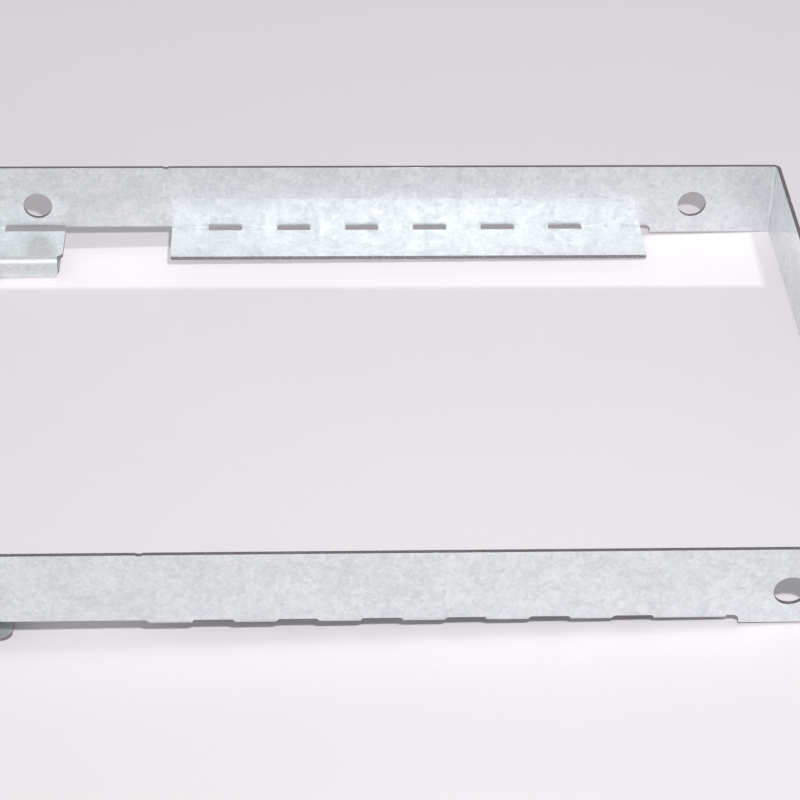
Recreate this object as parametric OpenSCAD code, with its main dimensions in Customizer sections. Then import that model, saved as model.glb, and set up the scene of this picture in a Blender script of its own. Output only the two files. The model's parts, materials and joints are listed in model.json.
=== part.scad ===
// Open carrier for a slim drive, folded from one galvanised sheet.
// Lengths are in millimetres. X runs along the side walls towards the end web,
// Y across the bay and Z up. The origin is at the middle of the carrier's base.

/* [Sheet] */
// Thickness of the sheet
sheet = 0.45; // [0.35:0.05:0.6]
// Inner radius of the web's corner bends and of the feet's own bends
bend_r = 0.4; // [0.2:0.05:0.5]
// Inner radius of the tight bends along the walls' lower edges
low_bend_r = 0.1; // [0.05:0.05:0.4]

/* [Bay] */
// Clear width between the two side walls
bay_w = 70.3; // [50:0.1:110]
// Height of the walls' top edge above the seat
wall_rise = 8.05; // [6.5:0.05:14]
// Height of the seat above the feet's underside
seat_h = 2.8; // [2.4:0.1:5]
// Depth of the end web's lower edge below the seat
web_drop = 0.85; // [0.6:0.05:1.6]

/* [Screw holes] */
// Diameter of the screw holes
hole_d = 3.3; // [2.6:0.1:4]
// Distance between the two holes of a wall
hole_pitch = 76.6; // [72:0.1:78]
// Height of the holes' centres above the seat
hole_rise = 3.0; // [2.6:0.1:4.4]
// Distance from the open end to the first hole's centre
hole_to_open = 9.5; // [5:0.05:16]
// Distance from the second hole's centre to the end web's inner face
hole_to_web = 9.55; // [5:0.05:12]

/* [Lips] */
// Length of each lip
lip_l = 55.15; // [20:0.05:58]
// Distance from a lip's web end to the second hole's centre
lip_to_hole = 5.9; // [3:0.1:9]
// Reach of a lip's free edge from the wall's inner face
lip_reach = 6.4; // [3:0.1:12]
// Length of a slot in the lip's bend
slot_l = 4.0; // [2:0.1:5]
// Distance from one slot to the next
slot_pitch = 8.0; // [6:0.1:14]
// Distance from the lip's open end to the first slot
slot_first = 4.2; // [1:0.1:8]
// Distance from the wall's inner face to the slot's edge on the lip
slot_reach = 0.65; // [0.5:0.05:1.2]
// Height of the wall's lower edge above the seat, at the slots and beside the foot
edge_lift = 0.15; // [0.05:0.05:0.35]
// Radius of the corners of that edge
edge_corner = 0.35; // [0.1:0.05:0.5]
// Width of the round relief at the lip's web end
relief_w = 1.2; // [0.6:0.1:2]
// Height of the relief's top above the seat
relief_rise = 0.05; // [0:0.05:0.5]

/* [Feet] */
// Length of the bend that joins a foot to its wall, from the open end
root_l = 5.5; // [3:0.1:8]
// Length of the foot's tab, from the open end
tab_l = 12.6; // [11:0.1:15]
// Radius of the tab's corner beside the leg
tab_corner = 0.6; // [0.2:0.1:1.5]
// Length of the leg and of the flange under it
leg_l = 7.2; // [5:0.1:9]
// Distance from the wall's inner face to the leg's face in the bay
foot_reach = 6.95; // [5:0.05:12]
// Distance from the wall's inner face to the tab's edge along the open slot
foot_slot = 0.75; // [0.5:0.05:1.5]
// Distance from the wall's inner face to the flange's free edge
flange_gap = 0.2; // [0:0.05:2]
// Radius of the leg's lower corner on the web side
leg_corner = 1.0; // [0.5:0.1:1.4]
// Radius of the leg's lower corner on the open side
leg_far_corner = 1.8; // [0.5:0.1:2.2]
// Radius of the flange's free corners
flange_corner = 1.1; // [0.4:0.1:2]

/* [Shearing nicks] */
// Width of the nicks left in the top edges by the shear
nick_w = 0.6; // [0.3:0.1:1.2]
// Depth of the nicks
nick_depth = 0.1; // [0.05:0.05:0.3]
// Distance from the open end to the nicks of the side walls
wall_nick = 24.2; // [15:0.1:40]
// Distance from the wall's inner face to the nick of the end web
web_nick = 8; // [2:0.5:30]

/* [Hidden] */
$fn = 64;

// Outer radius of the web's corner bends and of the feet's own bends
bend_out = bend_r + sheet;
// Overshoot of the cuts past the faces they leave
past = 1;

// Levels
seat_z = seat_h;
top_z = seat_z + wall_rise;
web_z = seat_z - web_drop;
hole_z = seat_z + hole_rise;
edge_z = seat_z + edge_lift;

// Length of the bay, from the open end to the end web's inner face
bay_l = hole_to_open + hole_pitch + hole_to_web;

// Stations along X
open_x = -(bay_l + sheet) / 2;
web_x = open_x + bay_l;
hole_x = web_x - hole_to_web;
lip_end = hole_x - lip_to_hole;
lip_start = lip_end - lip_l;
root_end = open_x + root_l;
tab_end = open_x + tab_l;
leg_end = tab_end - tab_corner;
leg_start = leg_end - leg_l;

// Wall's inner face on the +Y side, and the centre of the leg's bends
wall_y = bay_w / 2;
leg_bend = foot_reach - bend_out;

slot_count = floor((lip_l - slot_first - slot_l) / slot_pitch) + 1;

// Plan of a block that starts at the open end and has two round corners at
// its far end
module block_plan(length, width, r) {
    translate([open_x, -width / 2]) square([length - r, width]);
    translate([open_x, r - width / 2]) square([length, width - 2 * r]);
    for (side = [-1, 1]) {
        translate([open_x + length - r, side * (width / 2 - r)]) circle(r);
    }
}

// Plan of the two walls and the end web
module wall_plan() {
    difference() {
        block_plan(bay_l + sheet, bay_w + 2 * sheet, bend_out);
        translate([-past, 0]) block_plan(bay_l + past, bay_w, bend_r);
    }
}

// What the side walls lose, as seen from the side
module wall_cuts() {
    low = web_z - past;
    relief_r = relief_w / 2;
    relief_z = seat_z + relief_rise - relief_r;
    // Room for the bends of the foot's root and of the lip
    translate([open_x - past, low]) square([lip_end - open_x + past, seat_z + low_bend_r - low]);
    // Relief beside the lip, round towards the web
    translate([lip_end, low]) square([relief_w, relief_z - low]);
    translate([lip_end, low]) square([relief_r, relief_z + relief_r - low]);
    translate([lip_end + relief_r, relief_z]) circle(relief_r);
    // Nick in the top edge
    translate([open_x + wall_nick, top_z - nick_depth]) square([nick_w, nick_depth + past]);
}

// Draws its child, a section in d and z, along X from one station to another.
// d is measured from the wall's inner face into the bay.
module along_x(from, to) {
    translate([from, wall_y, 0]) rotate([90, 0, 90])
        linear_extrude(height = to - from) mirror([1, 0]) children();
}

// Quarter of a bend's section about a centre in d and z
module bend(inner, d, z, toward_d, toward_z) {
    outer = inner + sheet;
    translate([d, z]) intersection() {
        difference() {
            circle(outer);
            circle(inner);
        }
        translate([min(0, toward_d * outer), min(0, toward_z * outer)]) square(outer);
    }
}

// What a corner at the origin loses to its round
module corner_cut(r) {
    difference() {
        translate([-past, -past]) square(r + past);
        translate([r, r]) circle(r);
    }
}

// Outline between two stations with round corners on its near edge and square
// ones at its far edge
module round_end(from, to, reach, r_from, r_to) {
    difference() {
        translate([from, 0]) square([to - from, reach]);
        translate([from, 0]) corner_cut(r_from);
        translate([to, 0]) mirror([1, 0]) corner_cut(r_to);
    }
}

// Stations where the slots of a lip start
function slot_starts() = [for (i = [0 : slot_count - 1]) lip_start + slot_first + i * slot_pitch];

// Opening up to the wall's lower edge, with round upper corners
module edge_window(from, to) {
    translate([0, wall_y + sheet + past, edge_z]) rotate([90, 0, 0])
        linear_extrude(height = sheet + 2 * past + low_bend_r) mirror([0, 1])
            round_end(from, to, edge_z - web_z + past, edge_corner, edge_corner);
}

// Both side walls and the end web, with the tight bends along the lower edges.
// The bends are open at the slots and beside the feet.
module walls() {
    difference() {
        union() {
            difference() {
                translate([0, 0, web_z]) linear_extrude(height = top_z - web_z) wall_plan();
                rotate([90, 0, 0]) linear_extrude(height = 2 * bay_w, center = true) wall_cuts();
            }
            for (side = [0, 1]) mirror([0, side, 0])
                along_x(open_x, lip_end)
                    bend(low_bend_r, low_bend_r, seat_z + low_bend_r, -1, -1);
        }
        for (side = [0, 1]) mirror([0, side, 0]) {
            edge_window(root_end, lip_start);
            for (x = slot_starts()) edge_window(x, x + slot_l);
        }
    }
}

// Flat of one lip, with the slots' reach into it
module lip() {
    difference() {
        translate([lip_start, wall_y - lip_reach, seat_z - sheet])
            cube([lip_l, lip_reach - low_bend_r, sheet]);
        for (x = slot_starts()) {
            translate([x, wall_y - slot_reach, seat_z - sheet - past])
                cube([slot_l, slot_reach, sheet + 2 * past]);
        }
    }
}

// Tab of the foot, in the plane of the seat, with the open slot beside the wall
module foot_tab() {
    translate([0, wall_y - leg_bend, seat_z - sheet]) linear_extrude(height = sheet)
        difference() {
            round_end(open_x, tab_end, leg_bend - low_bend_r, leg_far_corner, tab_corner);
            translate([root_end, leg_bend - foot_slot]) square([tab_l, foot_slot]);
        }
}

// Leg of the foot, with both of its bends, and the flange that it stands on
module foot_leg() {
    intersection() {
        along_x(leg_start, leg_end) {
            bend(bend_r, leg_bend, seat_z - bend_out, 1, 1);
            translate([foot_reach - sheet, bend_out]) square([sheet, seat_z - 2 * bend_out]);
            bend(bend_r, leg_bend, bend_out, 1, -1);
        }
        translate([0, wall_y, 0]) rotate([90, 0, 0])
            linear_extrude(height = foot_reach + past)
                round_end(leg_start, leg_end, seat_z + past, leg_far_corner, leg_corner);
    }
    translate([0, wall_y - leg_bend, 0]) linear_extrude(height = sheet) intersection() {
        round_end(leg_start, leg_end, leg_bend, leg_far_corner, leg_corner);
        translate([0, leg_bend - flange_gap]) mirror([0, 1])
            round_end(leg_start, leg_end, leg_bend, flange_corner, flange_corner);
    }
}

module caddy_frame() {
    color("silver") difference() {
        union() {
            walls();
            for (side = [0, 1]) mirror([0, side, 0]) {
                lip();
                foot_tab();
                foot_leg();
            }
        }
        for (x = [hole_x - hole_pitch, hole_x]) {
            translate([x, 0, hole_z]) rotate([90, 0, 0])
                cylinder(h = bay_w + 2 * sheet + 2 * past, d = hole_d, center = true);
        }
        translate([web_x - past, wall_y - web_nick, top_z - nick_depth])
            cube([sheet + 2 * past, nick_w, nick_depth + past]);
    }
}

caddy_frame();
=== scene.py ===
"""Cuts and folds the sheet of an open drive carrier, gives it its zinc finish and sets its stage."""

import json
import math

import bmesh
import bpy
from bpy.props import FloatProperty, FloatVectorProperty, IntProperty, PointerProperty
from mathutils import Matrix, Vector
from mathutils.bvhtree import BVHTree


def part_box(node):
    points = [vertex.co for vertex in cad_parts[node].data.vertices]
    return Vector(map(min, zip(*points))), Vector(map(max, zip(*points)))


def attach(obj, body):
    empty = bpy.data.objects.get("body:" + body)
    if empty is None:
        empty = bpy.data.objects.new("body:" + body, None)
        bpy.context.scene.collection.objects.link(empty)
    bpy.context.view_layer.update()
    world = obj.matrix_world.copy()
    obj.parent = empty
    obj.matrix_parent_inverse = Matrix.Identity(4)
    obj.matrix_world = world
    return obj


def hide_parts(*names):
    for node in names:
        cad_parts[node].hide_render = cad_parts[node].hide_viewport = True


bl_info = {
    "name": "Folded drive carrier",
    "version": (1, 0, 0),
    "blender": (4, 5, 0),
    "location": "View3D > Sidebar > Carrier",
    "description": "Cuts, folds and finishes a sheet metal drive carrier, and sets its stage",
    "category": "Object",
}

MM = 0.001
PER_MM = 1 / MM
WHITE = (1.0, 1.0, 1.0, 1.0)
CAD_NODE = "caddy_frame"

# Overshoot of the cutters past the faces that they leave, and the distance that counts as none
PAST = 1 * MM
TOUCH = 0.001 * MM

# Depth of metal that tells a cut face from a rolled one, and the start of its measuring under
# the surface, both as shares of the sheet's thickness
CUT_DEPTH = 1.3
CUT_START = 0.02

# Faces that meet at less than the first angle are one flat, and edges over the second are rounded
FLAT_ANGLE = math.radians(0.5)
EDGE_ANGLE = math.radians(40)

# Half the width of the floor, in metres, and its faces along a side
FLOOR_HALF = 3.0
FLOOR_FACES = 8

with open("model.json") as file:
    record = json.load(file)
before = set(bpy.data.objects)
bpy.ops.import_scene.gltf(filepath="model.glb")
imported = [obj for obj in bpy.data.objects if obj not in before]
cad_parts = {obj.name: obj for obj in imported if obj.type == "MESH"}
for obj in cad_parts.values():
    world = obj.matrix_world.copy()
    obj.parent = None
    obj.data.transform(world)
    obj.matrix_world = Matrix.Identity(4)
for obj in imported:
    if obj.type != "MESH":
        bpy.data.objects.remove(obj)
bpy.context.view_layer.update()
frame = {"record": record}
low_corner, high_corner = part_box(CAD_NODE)
mounts = {mount["name"]: mount for mount in frame["record"]["mounts"]}


def length(name, description, value):
    """A length property, with its default in millimetres."""
    return FloatProperty(name=name, description=description, default=value * MM, unit="LENGTH")


def amount(name, description, value):
    """A plain number property."""
    return FloatProperty(name=name, description=description, default=value)


def colour(name, description, value):
    """A linear colour property."""
    return FloatVectorProperty(
        name=name, description=description, default=value, size=3, subtype="COLOR", min=0, max=1
    )


class CarrierSheet(bpy.types.PropertyGroup):
    """Sizes of the sheet, its bends, openings and feet."""

    thickness: length("Thickness", "Thickness of the sheet", 0.45)
    bend: length("Bend radius", "Inner radius of the corner bends and of the feet's bends", 0.4)
    low_bend: length("Low bend radius", "Inner radius of the bends along the lower edges", 0.1)
    bend_steps: IntProperty(name="Bend steps", description="Faces round a bend", default=12, min=2)
    low_steps: IntProperty(name="Low steps", description="Faces round a low bend", default=6, min=2)
    round_steps: IntProperty(name="Round steps", description="Faces round a corner", default=8, min=2)
    hole_steps: IntProperty(name="Hole steps", description="Faces round a hole", default=64, min=8)
    web_drop: length("Web drop", "Depth of the web's lower edge below the seat", 0.85)
    hole_to_web: length("Hole to web", "From the second hole's centre to the web", 9.55)
    lip_length: length("Lip length", "Length of each lip", 55.15)
    lip_to_hole: length("Lip to hole", "From a lip's web end to the second hole's centre", 5.9)
    lip_reach: length("Lip reach", "From the wall to a lip's free edge", 6.4)
    slot_length: length("Slot length", "Length of a slot in the lip's bend", 4.0)
    slot_pitch: length("Slot pitch", "Distance from one slot to the next", 8.0)
    slot_first: length("First slot", "From the lip's open end to the first slot", 4.2)
    slot_reach: length("Slot reach", "From the wall to the slot's edge on the lip", 0.65)
    slot_count: IntProperty(name="Slots", description="Slots in each lip", default=6, min=1)
    edge_lift: length("Edge lift", "Height of the wall's lower edge above the seat", 0.15)
    edge_corner: length("Edge corner", "Radius of the corners of that edge", 0.35)
    relief_width: length("Relief width", "Width of the round relief beside a lip", 1.2)
    root_length: length("Root length", "Length of the bend that joins a foot to its wall", 5.5)
    tab_length: length("Tab length", "Length of the foot's tab from the open end", 12.6)
    tab_corner: length("Tab corner", "Radius of the tab's corner beside the leg", 0.6)
    leg_length: length("Leg length", "Length of the leg and of its flange", 7.2)
    foot_reach: length("Foot reach", "From the wall to the leg's face in the bay", 6.95)
    foot_slot: length("Foot slot", "From the wall to the tab's edge along the open slot", 0.75)
    flange_gap: length("Flange gap", "From the wall to the flange's free edge", 0.2)
    leg_corner: length("Leg corner", "Radius of the leg's corner on the web side", 1.0)
    leg_far_corner: length("Far leg corner", "Radius of the leg's corner on the open side", 1.8)
    flange_corner: length("Flange corner", "Radius of the flange's free corners", 1.1)
    nick_width: length("Nick width", "Width of the shearing nicks in the top edges", 0.6)
    nick_depth: length("Nick depth", "Depth of the shearing nicks", 0.1)
    wall_nick: length("Wall nick", "From the open end to the nick of a side wall", 24.2)
    web_nick: length("Web nick", "From the wall to the nick of the web", 8.0)
    edge_round: length("Edge round", "Width of the rounding along the cut edges", 0.02)


class CarrierFinish(bpy.types.PropertyGroup):
    """Colours and gloss of the zinc, of the cut edges and of the floor."""

    zinc: colour("Zinc", "Colour of the zinc's bright grains", (0.79, 0.815, 0.83))
    zinc_dull: colour("Dull zinc", "Colour of the zinc's duller grains", (0.63, 0.66, 0.68))
    zinc_stain: colour("Stain", "Colour of the small dull spots", (0.40, 0.43, 0.45))
    cut_steel: colour("Cut steel", "Colour of the sheared edges", (0.27, 0.25, 0.265))
    cut_bright: colour("Bright cut", "Colour of the zinc smeared on the sheared edges", (0.7, 0.7, 0.71))
    # Painted shade: the floor's near colour is darker than its far one, to even out the near lamp's
    # brighter light in front.
    floor_near_painted_shade: colour("Near floor", "Colour of the floor in front", (0.575, 0.565, 0.58))
    paper_far: colour("Far floor", "Colour of the floor behind", (0.915, 0.865, 0.9))
    zinc_metal: amount("Zinc metal", "Share of metal in the zinc's look", 0.8)
    zinc_smooth: amount("Smooth zinc", "Roughness of the smoothest spangles", 0.5)
    zinc_rough: amount("Rough zinc", "Roughness of the roughest spangles", 0.6)
    film_index: amount("Film index", "Refractive index of the clear film on the zinc", 1.9)
    film_rough: amount("Film roughness", "Roughness of the clear film on the zinc", 0.07)
    grade_near: length("Near grade", "Place along Y where the floor's near colour ends", -110.0)
    grade_far: length("Far grade", "Place along Y where the floor's far colour starts", 95.0)
    # Painted reflection: the floor glows by emission in a strip before the far wall, in place of the
    # lamp's light that the wall reflects onto it.
    painted_thrown_light: amount("Thrown light", "Light that the far wall throws on the floor", 0.2)
    strip_front: length("Strip front", "From the bay's middle to the strip of that light", 24.6)
    strip_slant: amount("Strip slant", "Slope of the strip's front edge", 0.038)
    strip_end: length("Strip end", "From the carrier's middle to the strip's web end", 44.9)
    front_blur: length("Front blur", "Width of the strip's soft front and open end", 1.0)
    end_blur: length("End blur", "Width of the strip's soft end at the web", 0.8)
    wall_blur: length("Wall blur", "Width of the strip's soft edge at the wall", 0.3)


class CarrierStage(bpy.types.PropertyGroup):
    """Place of the camera and of the lamp, and the level of the light."""

    camera_place: FloatVectorProperty(
        name="Camera", description="Place of the camera", size=3, subtype="TRANSLATION",
        default=(-9.63 * MM, -218.82 * MM, 160.03 * MM),
    )
    camera_turn: FloatVectorProperty(
        name="Camera turn", description="Turn of the camera", size=3, subtype="EULER",
        default=(math.radians(54.348), math.radians(-1.182), math.radians(-2.279)),
    )
    camera_lens: amount("Lens", "Focal length on a 36 mm sensor, in millimetres", 113.88)
    lamp_place: FloatVectorProperty(
        name="Lamp", description="Place of the lamp", size=3, subtype="TRANSLATION",
        default=(19.5 * MM, -178.6 * MM, 193 * MM),
    )
    lamp_width: length("Lamp width", "Width of the lamp", 14.0)
    lamp_power: amount("Lamp power", "Power in watts", 0.51)
    sky: amount("Sky", "Strength of the light from all round", 0.51)


def places(sheet):
    """Places and worked-out sizes, from the frame and from the sheet's own sizes."""
    holes = mounts["holes_rear"]
    half_pitch = holes["dims"]["spacing_x_mm"] * MM / 2
    at = {
        "open": low_corner.x,
        "far": high_corner.x,
        "web": high_corner.x - sheet.thickness,
        "wall": high_corner.y - sheet.thickness,
        "outside": high_corner.y,
        "top": high_corner.z,
        "seat": mounts["drive_seat"]["pos_m"][2],
        "hole_z": holes["pos_m"][2],
        "hole_r": holes["dims"]["hole_r_mm"] * MM,
        "holes": [holes["pos_m"][0] - half_pitch, holes["pos_m"][0] + half_pitch],
    }
    at["lip_end"] = at["web"] - sheet.hole_to_web - sheet.lip_to_hole
    at["lip_start"] = at["lip_end"] - sheet.lip_length
    at["root_end"] = at["open"] + sheet.root_length
    at["tab_end"] = at["open"] + sheet.tab_length
    at["leg_end"] = at["tab_end"] - sheet.tab_corner
    at["leg_start"] = at["leg_end"] - sheet.leg_length
    at["plate"] = at["seat"] - sheet.thickness
    at["web_z"] = at["seat"] - sheet.web_drop
    at["edge_z"] = at["seat"] + sheet.edge_lift
    at["bend_out"] = sheet.bend + sheet.thickness
    at["leg_bend"] = sheet.foot_reach - at["bend_out"]
    return at


def in_plan():
    """Stands an outline in x and y, drawn out along z."""
    return Matrix.Identity(4)


def from_side():
    """Stands an outline in x and z, drawn out along y."""
    return Matrix(((1, 0, 0, 0), (0, 0, 1, 0), (0, 1, 0, 0), (0, 0, 0, 1)))


def in_section(wall):
    """Stands an outline in distance from the wall and z, drawn out along x."""
    return Matrix(((0, 0, 1, 0), (-1, 0, 0, wall), (0, 1, 0, 0), (0, 0, 0, 1)))


def box_outline(a0, b0, a1, b1):
    """Corners of a plain rectangle."""
    return [(a0, b0), (a1, b0), (a1, b1), (a0, b1)]


def as_mesh(bm, name):
    """Turns a bmesh into a mesh and frees it."""
    mesh = bpy.data.meshes.new(name)
    bm.to_mesh(mesh)
    bm.free()
    return mesh


def draw_out(target, corners, start, end, stand):
    """Adds a block of an outline. A corner is a and b, or a, b, its radius and its steps."""
    bm = bmesh.new()
    verts = [bm.verts.new((corner[0], corner[1], 0)) for corner in corners]
    bm.faces.new(verts)
    for vert, corner in zip(verts, corners):
        if len(corner) == 4:
            bmesh.ops.bevel(
                bm, geom=[vert], offset=corner[2], offset_type="OFFSET", segments=corner[3],
                profile=0.5, affect="VERTICES", material=-1,
            )
    made = bmesh.ops.extrude_face_region(bm, geom=bm.faces[:], use_keep_orig=True)
    raised = [item for item in made["geom"] if isinstance(item, bmesh.types.BMVert)]
    bmesh.ops.translate(bm, vec=(0, 0, end - start), verts=raised)
    bmesh.ops.translate(bm, vec=(0, 0, start), verts=bm.verts)
    bmesh.ops.transform(bm, matrix=stand, verts=bm.verts)
    bmesh.ops.recalc_face_normals(bm, faces=bm.faces)
    drawn = as_mesh(bm, "drawn")
    target.from_mesh(drawn)
    bpy.data.meshes.remove(drawn)


def block(name, corners, start, end, stand):
    """Makes a mesh of one block."""
    bm = bmesh.new()
    draw_out(bm, corners, start, end, stand)
    return as_mesh(bm, name)


def combine(base, tool, operation):
    """Joins, cuts or intersects two closed meshes and gives the new mesh."""
    work = [bpy.data.objects.new("work", base), bpy.data.objects.new("tool", tool)]
    for thing in work:
        bpy.context.scene.collection.objects.link(thing)
    boolean = work[0].modifiers.new("combine", "BOOLEAN")
    boolean.operation = operation
    boolean.solver = "EXACT"
    boolean.object = work[1]
    graph = bpy.context.evaluated_depsgraph_get()
    result = bpy.data.meshes.new_from_object(work[0].evaluated_get(graph))
    for thing in work:
        bpy.data.objects.remove(thing)
    for mesh in (base, tool):
        bpy.data.meshes.remove(mesh)
    if not result.polygons:
        raise RuntimeError("the blocks of the sheet gave no shape")
    return result


def wall_block(sheet, at):
    """Side wall and half of the web, round at their bend."""
    outline = [
        (at["open"], at["wall"]),
        (at["web"], at["wall"], sheet.bend, sheet.bend_steps),
        (at["web"], -PAST),
        (at["far"], -PAST),
        (at["far"], at["outside"], at["bend_out"], sheet.bend_steps),
        (at["open"], at["outside"]),
    ]
    return block("wall", outline, at["web_z"], at["top"], in_plan())


def room_cutter(sheet, at):
    """Room under the wall for the low bends, and the round relief beside the lip."""
    through = (at["wall"] - PAST, at["outside"] + PAST)
    room_top = at["seat"] + sheet.low_bend
    room = box_outline(at["open"] - PAST, 0, at["lip_end"], room_top)
    relief_end = at["lip_end"] + sheet.relief_width
    relief = box_outline(at["lip_end"] - PAST, 0, relief_end, room_top)
    relief[2] += (sheet.relief_width / 2, sheet.round_steps)
    room_block = block("room", room, *through, from_side())
    return combine(room_block, block("relief", relief, *through, from_side()), "UNION")


def low_bends(sheet, at):
    """Lip and foot root, each a flat that turns up into the wall round a tight bend."""
    bm = bmesh.new()
    overlap = at["edge_z"] + PAST
    for start, end, reach in (
        (at["open"], at["root_end"] + PAST, sheet.foot_slot),
        (at["lip_start"] - PAST, at["lip_end"], sheet.lip_reach),
    ):
        outline = [
            (0, overlap),
            (0, at["seat"], sheet.low_bend, sheet.low_steps),
            (reach, at["seat"]),
            (reach, at["plate"]),
            (-sheet.thickness, at["plate"], sheet.low_bend + sheet.thickness, sheet.bend_steps),
            (-sheet.thickness, overlap),
        ]
        draw_out(bm, outline, start, end, in_section(at["wall"]))
    return as_mesh(bm, "low_bends")


def window_cutters(sheet, at):
    """Opening between foot and lip, and the slots along the lip's bend."""
    bm = bmesh.new()
    openings = [(at["root_end"], at["lip_start"], sheet.lip_reach + PAST)]
    for i in range(sheet.slot_count):
        start = at["lip_start"] + sheet.slot_first + i * sheet.slot_pitch
        openings.append((start, start + sheet.slot_length, sheet.slot_reach))
    for start, end, reach in openings:
        outline = box_outline(start, at["plate"] - PAST, end, at["edge_z"])
        outline[2] += (sheet.edge_corner, sheet.round_steps)
        outline[3] += (sheet.edge_corner, sheet.round_steps)
        draw_out(bm, outline, at["wall"] - reach, at["outside"] + PAST, from_side())
    return as_mesh(bm, "windows")


def hole_cutters(sheet, at):
    """Pins that cut the two screw holes of a wall."""
    bm = bmesh.new()
    depth = sheet.thickness + 2 * PAST
    for x in at["holes"]:
        place = Matrix.Translation((x, at["wall"] + sheet.thickness / 2, at["hole_z"]))
        bmesh.ops.create_cone(
            bm, cap_ends=True, segments=sheet.hole_steps, radius1=at["hole_r"],
            radius2=at["hole_r"], depth=depth, matrix=place @ Matrix.Rotation(math.pi / 2, 4, "X"),
        )
    return as_mesh(bm, "holes")


def foot_tab(sheet, at):
    """Tab of the foot, up to the root bend and to the open slot beside the wall."""
    free, inside = at["wall"] - at["leg_bend"], at["wall"] - sheet.foot_slot
    outline = box_outline(at["open"], free, at["tab_end"], inside)
    outline[0] += (sheet.leg_far_corner, sheet.round_steps)
    outline[1] += (sheet.tab_corner, sheet.round_steps)
    return block("tab", outline, at["plate"], at["seat"], in_plan())


def foot_leg(sheet, at):
    """Leg of the foot with its two bends, round at its lower corners."""
    inner = sheet.foot_reach - sheet.thickness
    outline = [
        (at["leg_bend"], at["seat"]),
        (sheet.foot_reach, at["seat"], at["bend_out"], sheet.bend_steps),
        (sheet.foot_reach, 0, at["bend_out"], sheet.bend_steps),
        (at["leg_bend"], 0),
        (at["leg_bend"], sheet.thickness),
        (inner, sheet.thickness, sheet.bend, sheet.bend_steps),
        (inner, at["plate"], sheet.bend, sheet.bend_steps),
        (at["leg_bend"], at["plate"]),
    ]
    leg = block("leg", outline, at["leg_start"], at["leg_end"], in_section(at["wall"]))
    rounds = box_outline(at["leg_start"], 0, at["leg_end"], at["seat"] + PAST)
    rounds[0] += (sheet.leg_far_corner, sheet.round_steps)
    rounds[1] += (sheet.leg_corner, sheet.round_steps)
    reach = at["wall"] - sheet.foot_reach - PAST
    return combine(leg, block("leg_outline", rounds, reach, at["wall"], from_side()), "INTERSECT")


def foot_flange(sheet, at):
    """Flange that the foot stands on."""
    root, free = at["wall"] - at["leg_bend"], at["wall"] - sheet.flange_gap
    outline = [
        (at["leg_start"], root, sheet.leg_far_corner, sheet.round_steps),
        (at["leg_end"], root, sheet.leg_corner, sheet.round_steps),
        (at["leg_end"], free, sheet.flange_corner, sheet.round_steps),
        (at["leg_start"], free, sheet.flange_corner, sheet.round_steps),
    ]
    return block("flange", outline, 0, sheet.thickness, in_plan())


def nick_cutters(sheet, at):
    """Notches that the shear left in the top edges."""
    bm = bmesh.new()
    low, high = at["top"] - sheet.nick_depth, at["top"] + PAST
    x = at["open"] + sheet.wall_nick
    wall_notch = box_outline(x, low, x + sheet.nick_width, high)
    for y in (-at["outside"] - PAST, at["wall"] - PAST):
        draw_out(bm, wall_notch, y, y + sheet.thickness + 2 * PAST, from_side())
    y = at["wall"] - sheet.web_nick
    web_notch = box_outline(at["web"] - PAST, y, at["far"] + PAST, y + sheet.nick_width)
    draw_out(bm, web_notch, low, high, in_plan())
    return as_mesh(bm, "nicks")


def mirrored(mesh):
    """Cuts a half at the middle of the bay and joins it to its mirror image."""
    bm = bmesh.new()
    bm.from_mesh(mesh)
    bmesh.ops.bisect_plane(
        bm, geom=bm.verts[:] + bm.edges[:] + bm.faces[:], dist=TOUCH,
        plane_co=(0, 0, 0), plane_no=(0, -1, 0), clear_outer=True,
    )
    geometry = bm.verts[:] + bm.edges[:] + bm.faces[:]
    bmesh.ops.mirror(bm, geom=geometry, axis="Y", merge_dist=TOUCH)
    bmesh.ops.remove_doubles(bm, verts=bm.verts, dist=TOUCH)
    bmesh.ops.recalc_face_normals(bm, faces=bm.faces)
    bm.to_mesh(mesh)
    bm.free()
    return mesh


def mark_cut_faces(mesh, thickness):
    """Gives the second material to the faces with more metal behind them than the sheet is thick."""
    bm = bmesh.new()
    bm.from_mesh(mesh)
    bmesh.ops.remove_doubles(bm, verts=bm.verts, dist=TOUCH)
    bmesh.ops.triangulate(bm, faces=bm.faces)
    bm.normal_update()
    tree = BVHTree.FromBMesh(bm)
    for face in bm.faces:
        start = face.calc_center_median() - face.normal * thickness * CUT_START
        behind = tree.ray_cast(start, -face.normal)[3]
        face.material_index = int(behind is None or behind > CUT_DEPTH * thickness)
        face.smooth = True
    bmesh.ops.dissolve_limit(
        bm, angle_limit=FLAT_ANGLE, verts=bm.verts, edges=bm.edges, delimit={"MATERIAL"}
    )
    open_edges = [edge for edge in bm.edges if not edge.is_manifold]
    if open_edges:
        raise RuntimeError(f"the sheet has {len(open_edges)} open edges")
    bm.to_mesh(mesh)
    bm.free()


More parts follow.
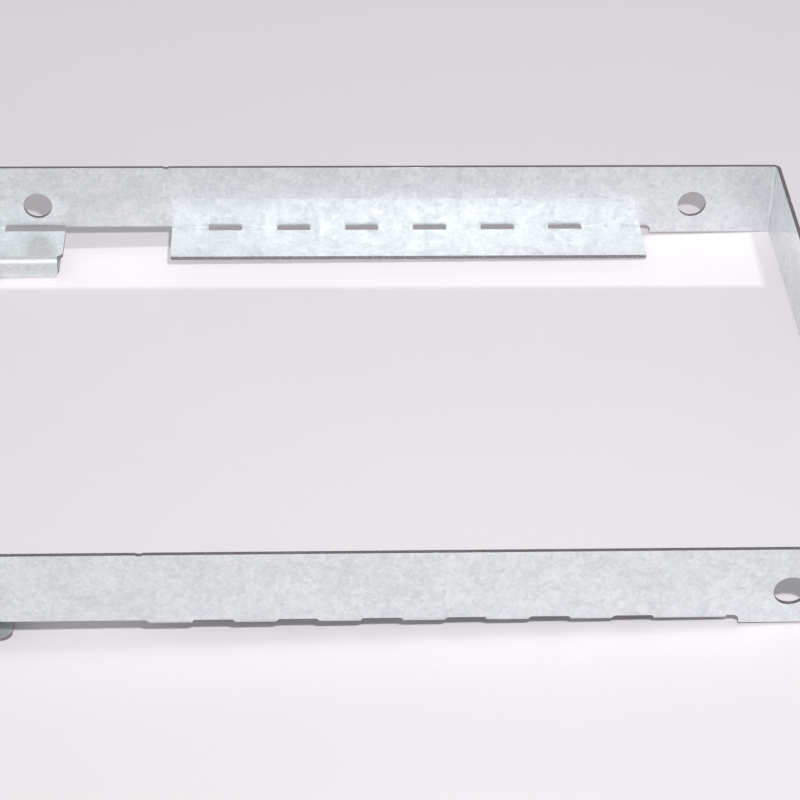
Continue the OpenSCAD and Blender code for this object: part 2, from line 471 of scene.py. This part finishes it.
class NodeSheet:
    """Adds nodes to a material or a group and links them."""

    def __init__(self, tree):
        self.tree = tree

    def set(self, socket, value):
        """Links a socket to another one, or gives it a plain value."""
        if isinstance(value, bpy.types.NodeSocket):
            self.tree.links.new(value, socket)
        else:
            socket.default_value = value

    def add(self, kind, inputs=None, **settings):
        """Adds a node with its settings and inputs."""
        node = self.tree.nodes.new(kind)
        for name, value in settings.items():
            setattr(node, name, value)
        for name, value in (inputs or {}).items():
            self.set(node.inputs[name], value)
        return node

    def math(self, operation, first, second):
        """Works out one number from two."""
        return self.add("ShaderNodeMath", {0: first, 1: second}, operation=operation).outputs[0]

    def ramp(self, value, low, high, to_low=0.0, to_high=1.0):
        """Maps a value's range to another one, and stops at its ends."""
        inputs = {"Value": value, "From Min": low, "From Max": high}
        inputs.update({"To Min": to_low, "To Max": to_high})
        return self.add("ShaderNodeMapRange", inputs).outputs["Result"]

    def mix(self, factor, first, second):
        """Mixes two colours, given as sockets or with their alpha."""
        node = self.add("ShaderNodeMix", {0: factor, 6: first, 7: second}, data_type="RGBA")
        return node.outputs[2]


def opaque(rgb):
    """Adds the alpha to a colour property."""
    return (*rgb, 1.0)


def grain_group():
    """Builds the group that gives cloudy mottling, fine grain and rare bright specks."""
    tree = bpy.data.node_groups.new("metal_grain", "ShaderNodeTree")
    tree.interface.new_socket("Vector", in_out="INPUT", socket_type="NodeSocketVector")
    tree.interface.new_socket("Size", in_out="INPUT", socket_type="NodeSocketFloat")
    for name in ("Cloud", "Grain", "Speck"):
        tree.interface.new_socket(name, in_out="OUTPUT", socket_type="NodeSocketFloat")
    nodes = NodeSheet(tree)
    given = nodes.add("NodeGroupInput").outputs
    scaled = nodes.add(
        "ShaderNodeVectorMath", {"Vector": given["Vector"], "Scale": given["Size"]},
        operation="SCALE",
    )
    point = scaled.outputs["Vector"]
    cloud = nodes.add("ShaderNodeTexNoise", {"Vector": point, "Scale": 0.35, "Detail": 5.0})
    grain = nodes.add("ShaderNodeTexNoise", {"Vector": point, "Scale": 2.6, "Detail": 3.0})
    cells = nodes.add("ShaderNodeTexVoronoi", {"Vector": point, "Scale": 3.2})
    chance = nodes.add("ShaderNodeSeparateColor", {"Color": cells.outputs["Color"]})
    core = nodes.ramp(cells.outputs["Distance"], 0.12, 0.3, 1.0, 0.0)
    rare = nodes.ramp(chance.outputs["Red"], 0.93, 0.96)
    results = {
        "Cloud": cloud.outputs["Fac"],
        "Grain": grain.outputs["Fac"],
        "Speck": nodes.math("MULTIPLY", core, rare),
    }
    nodes.add("NodeGroupOutput", results)
    return tree


def new_material(name):
    """Makes a node material and gives it with its nodes, its shader and its point in space."""
    material = bpy.data.materials.new(name)
    material.use_nodes = True
    nodes = NodeSheet(material.node_tree)
    shader = material.node_tree.nodes["Principled BSDF"]
    return material, nodes, shader, nodes.add("ShaderNodeTexCoord").outputs["Object"]


def zinc_material(finish, grain):
    """Galvanised face: spangles, cloudy dulling, dull spots and bright specks under a clear film."""
    material, nodes, shader, spot = new_material("zinc_face")
    fine = nodes.add("ShaderNodeGroup", node_tree=grain)
    nodes.set(fine.inputs["Vector"], spot)
    nodes.set(fine.inputs["Size"], PER_MM)
    warp = nodes.add("ShaderNodeTexNoise", {"Vector": spot, "Scale": 0.9 * PER_MM, "Detail": 2.0})
    shift = nodes.add(
        "ShaderNodeVectorMath", {0: warp.outputs["Color"], "Scale": 0.9 * MM}, operation="SCALE"
    )
    bent = nodes.add("ShaderNodeVectorMath", {0: spot, 1: shift.outputs["Vector"]}, operation="ADD")
    spangle = nodes.add(
        "ShaderNodeTexVoronoi", {"Vector": bent.outputs["Vector"], "Scale": 1.3 * PER_MM}
    )
    facet = nodes.add("ShaderNodeSeparateColor", {"Color": spangle.outputs["Color"]}).outputs
    cloud_share, spangle_share = 0.6, 0.26
    dullest, brightest = 0.66, 1.2
    mottle = nodes.math("MULTIPLY", fine.outputs["Cloud"], cloud_share)
    speckle = nodes.math("ADD", mottle, fine.outputs["Grain"])
    tone = nodes.math("ADD", speckle, nodes.math("MULTIPLY", facet["Red"], spangle_share))
    bright = nodes.ramp(tone, dullest, brightest)
    base = nodes.mix(bright, opaque(finish.zinc_dull), opaque(finish.zinc))
    blotch = nodes.add(
        "ShaderNodeTexNoise", {"Vector": spot, "Scale": 0.26 * PER_MM, "Detail": 6.0}
    )
    clean, soiled, stain_share = 0.66, 0.78, 0.45
    stain = nodes.ramp(blotch.outputs["Fac"], clean, soiled, 0.0, stain_share)
    stained = nodes.mix(stain, base, opaque(finish.zinc_stain))
    specked = nodes.mix(fine.outputs["Speck"], stained, WHITE)
    nodes.set(shader.inputs["Base Color"], specked)
    rough = nodes.ramp(facet["Green"], 0.0, 1.0, finish.zinc_smooth, finish.zinc_rough)
    speck_gloss = 0.14
    glint = nodes.math("MULTIPLY", fine.outputs["Speck"], speck_gloss)
    nodes.set(shader.inputs["Roughness"], nodes.math("SUBTRACT", rough, glint))
    height = nodes.math("ADD", fine.outputs["Grain"], facet["Blue"])
    bump = nodes.add("ShaderNodeBump", {"Height": height, "Strength": 0.22, "Distance": 0.04 * MM})
    nodes.set(shader.inputs["Normal"], bump.outputs["Normal"])
    shader.inputs["Metallic"].default_value = finish.zinc_metal
    shader.inputs["Coat Weight"].default_value = 1.0
    shader.inputs["Coat IOR"].default_value = finish.film_index
    shader.inputs["Coat Roughness"].default_value = finish.film_rough
    return material


def cut_material(finish, grain):
    """Sheared edge: dull steel with zinc smeared over it in bright specks."""
    material, nodes, shader, spot = new_material("sheared_edge")
    fine = nodes.add("ShaderNodeGroup", node_tree=grain)
    nodes.set(fine.inputs["Vector"], spot)
    nodes.set(fine.inputs["Size"], 2.2 * PER_MM)
    bare, smeared, smear_share = 0.5, 0.72, 0.5
    smear = nodes.ramp(fine.outputs["Grain"], bare, smeared, 0.0, smear_share)
    steel = nodes.mix(smear, opaque(finish.cut_steel), opaque(finish.cut_bright))
    specked = nodes.mix(fine.outputs["Speck"], steel, opaque(finish.cut_bright))
    nodes.set(shader.inputs["Base Color"], specked)
    smoothest, roughest = 0.4, 0.62
    rough = nodes.ramp(fine.outputs["Cloud"], 0.3, 0.7, smoothest, roughest)
    nodes.set(shader.inputs["Roughness"], rough)
    bump = nodes.add(
        "ShaderNodeBump",
        {"Height": fine.outputs["Grain"], "Strength": 0.5, "Distance": 0.05 * MM},
    )
    nodes.set(shader.inputs["Normal"], bump.outputs["Normal"])
    shader.inputs["Metallic"].default_value = 1.0
    return material


def painted_glow_strip(nodes, place, finish, at):
    """Mask of a painted reflection: a strip before the far wall, soft at its edges, where the floor is
    made to glow in place of the lamp's light that the wall reflects onto it.
    """
    slant = nodes.math("MULTIPLY", place["X"], finish.strip_slant)
    depth = nodes.math("ADD", place["Y"], slant)
    front = nodes.ramp(depth, finish.strip_front, finish.strip_front + finish.front_blur)
    back = nodes.ramp(place["Y"], at["wall"] - finish.wall_blur, at["wall"], 1.0, 0.0)
    web_end = nodes.ramp(
        place["X"], finish.strip_end, finish.strip_end + finish.end_blur, 1.0, 0.0
    )
    open_end = nodes.ramp(place["X"], at["open"] - finish.front_blur, at["open"])
    across = nodes.math("MULTIPLY", front, back)
    along = nodes.math("MULTIPLY", open_end, web_end)
    return nodes.math("MULTIPLY", across, along)


def paper_material(finish, at):
    """Pale matt floor, painted darker in front as painted shade that evens out the near lamp's brighter
    light there, with a painted glow that stands in for the lamp's light thrown on it by the far wall.
    """
    material, nodes, shader, spot = new_material("pale_floor")
    cloud = nodes.add("ShaderNodeTexNoise", {"Vector": spot, "Scale": 0.03 * PER_MM, "Detail": 4.0})
    place = nodes.add("ShaderNodeSeparateXYZ", {"Vector": spot}).outputs
    # Painted shade: the floor darkens towards the front, to even out the near lamp's brighter light
    # there.
    far = nodes.ramp(place["Y"], finish.grade_near, finish.grade_far)
    unevenness = 0.04
    uneven = nodes.ramp(cloud.outputs["Fac"], 0.0, 1.0, -unevenness, unevenness)
    shade = nodes.math("ADD", far, uneven)
    paper = nodes.mix(shade, opaque(finish.floor_near_painted_shade), opaque(finish.paper_far))
    nodes.set(shader.inputs["Base Color"], paper)
    # Painted reflection: the strip glows by emission, standing in for the lamp's light that the far wall
    # reflects onto the floor.
    strip = painted_glow_strip(nodes, place, finish, at)
    painted_glow = nodes.math("MULTIPLY", strip, finish.painted_thrown_light)
    nodes.set(shader.inputs["Emission Strength"], painted_glow)
    shader.inputs["Emission Color"].default_value = WHITE
    shader.inputs["Roughness"].default_value = 0.85
    shader.inputs["Specular IOR Level"].default_value = 0.2
    return material


class CARRIER_OT_sheet(bpy.types.Operator):
    """Cut, fold and finish the sheet of the carrier"""

    bl_idname = "carrier.sheet"
    bl_label = "Fold the sheet"

    def execute(self, context):
        sheet, finish = context.scene.carrier_sheet, context.scene.carrier_finish
        at = places(sheet)
        mesh = combine(wall_block(sheet, at), room_cutter(sheet, at), "DIFFERENCE")
        mesh = combine(mesh, low_bends(sheet, at), "UNION")
        mesh = combine(mesh, window_cutters(sheet, at), "DIFFERENCE")
        mesh = combine(mesh, hole_cutters(sheet, at), "DIFFERENCE")
        for part in (foot_tab(sheet, at), foot_leg(sheet, at), foot_flange(sheet, at)):
            mesh = combine(mesh, part, "UNION")
        mesh = combine(mirrored(mesh), nick_cutters(sheet, at), "DIFFERENCE")
        grain = grain_group()
        mesh.materials.clear()
        mesh.materials.append(zinc_material(finish, grain))
        mesh.materials.append(cut_material(finish, grain))
        mark_cut_faces(mesh, sheet.thickness)
        piece = bpy.data.objects.new("folded_sheet", mesh)
        context.scene.collection.objects.link(piece)
        soften = piece.modifiers.new("edge_round", "BEVEL")
        soften.width = sheet.edge_round
        soften.segments = 2
        soften.limit_method = "ANGLE"
        soften.angle_limit = EDGE_ANGLE
        soften.use_clamp_overlap = False
        soften.material = -1
        flatten = piece.modifiers.new("flat_faces", "WEIGHTED_NORMAL")
        flatten.weight = 100
        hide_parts(CAD_NODE)
        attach(piece, "root")
        return {"FINISHED"}


class CARRIER_OT_stage(bpy.types.Operator):
    """Set the floor, the lamp, the sky and the camera"""

    bl_idname = "carrier.stage"
    bl_label = "Set the stage"

    def execute(self, context):
        scene = context.scene
        self.add_floor(scene)
        self.add_light(scene, scene.carrier_stage)
        self.add_camera(scene, scene.carrier_stage)
        scene.view_settings.view_transform = "Standard"
        return {"FINISHED"}

    def add_floor(self, scene):
        """Lays the floor under the feet and the web's lower edge."""
        at = places(scene.carrier_sheet)
        slope = math.atan2(at["web_z"], at["far"] - at["leg_end"])
        bm = bmesh.new()
        bmesh.ops.create_grid(
            bm, x_segments=FLOOR_FACES, y_segments=FLOOR_FACES, size=FLOOR_HALF
        )
        place = Matrix.Translation((at["leg_end"], 0, 0)) @ Matrix.Rotation(-slope, 4, "Y")
        bmesh.ops.transform(bm, matrix=place, verts=bm.verts)
        floor = bpy.data.objects.new("floor", as_mesh(bm, "floor"))
        floor.data.materials.append(paper_material(scene.carrier_finish, at))
        scene.collection.objects.link(floor)

    def add_light(self, scene, stage):
        """Hangs the lamp, aimed at the carrier, and lights the sky."""
        light = bpy.data.lights.new("lamp", "AREA")
        light.shape = "DISK"
        light.size = stage.lamp_width
        light.energy = stage.lamp_power
        lamp = bpy.data.objects.new("lamp", light)
        lamp.location = stage.lamp_place
        lamp.rotation_euler = (-lamp.location).to_track_quat("-Z", "Y").to_euler()
        scene.collection.objects.link(lamp)
        scene.world = bpy.data.worlds.new("soft_sky")
        scene.world.use_nodes = True
        background = scene.world.node_tree.nodes["Background"]
        background.inputs["Color"].default_value = WHITE
        background.inputs["Strength"].default_value = stage.sky

    def add_camera(self, scene, stage):
        """Places the camera."""
        view = bpy.data.cameras.new("camera")
        view.lens = stage.camera_lens
        view.clip_start = 10 * MM
        camera = bpy.data.objects.new("camera", view)
        camera.location = stage.camera_place
        camera.rotation_euler = stage.camera_turn
        scene.collection.objects.link(camera)
        scene.camera = camera


class CARRIER_PT_panel(bpy.types.Panel):
    """Lists the steps that make the carrier"""

    bl_label = "Folded drive carrier"
    bl_space_type = "VIEW_3D"
    bl_region_type = "UI"
    bl_category = "Carrier"

    def draw(self, context):
        self.layout.operator("carrier.sheet")
        self.layout.operator("carrier.stage")


CLASSES = (
    CarrierSheet,
    CarrierFinish,
    CarrierStage,
    CARRIER_OT_sheet,
    CARRIER_OT_stage,
    CARRIER_PT_panel,
)


def register():
    for kind in CLASSES:
        bpy.utils.register_class(kind)
    bpy.types.Scene.carrier_sheet = PointerProperty(type=CarrierSheet)
    bpy.types.Scene.carrier_finish = PointerProperty(type=CarrierFinish)
    bpy.types.Scene.carrier_stage = PointerProperty(type=CarrierStage)


def unregister():
    del bpy.types.Scene.carrier_stage
    del bpy.types.Scene.carrier_finish
    del bpy.types.Scene.carrier_sheet
    for kind in reversed(CLASSES):
        bpy.utils.unregister_class(kind)


def main():
    """Makes the carrier and its stage."""
    register()
    bpy.ops.carrier.sheet()
    bpy.ops.carrier.stage()


if __name__ == "__main__":
    main()
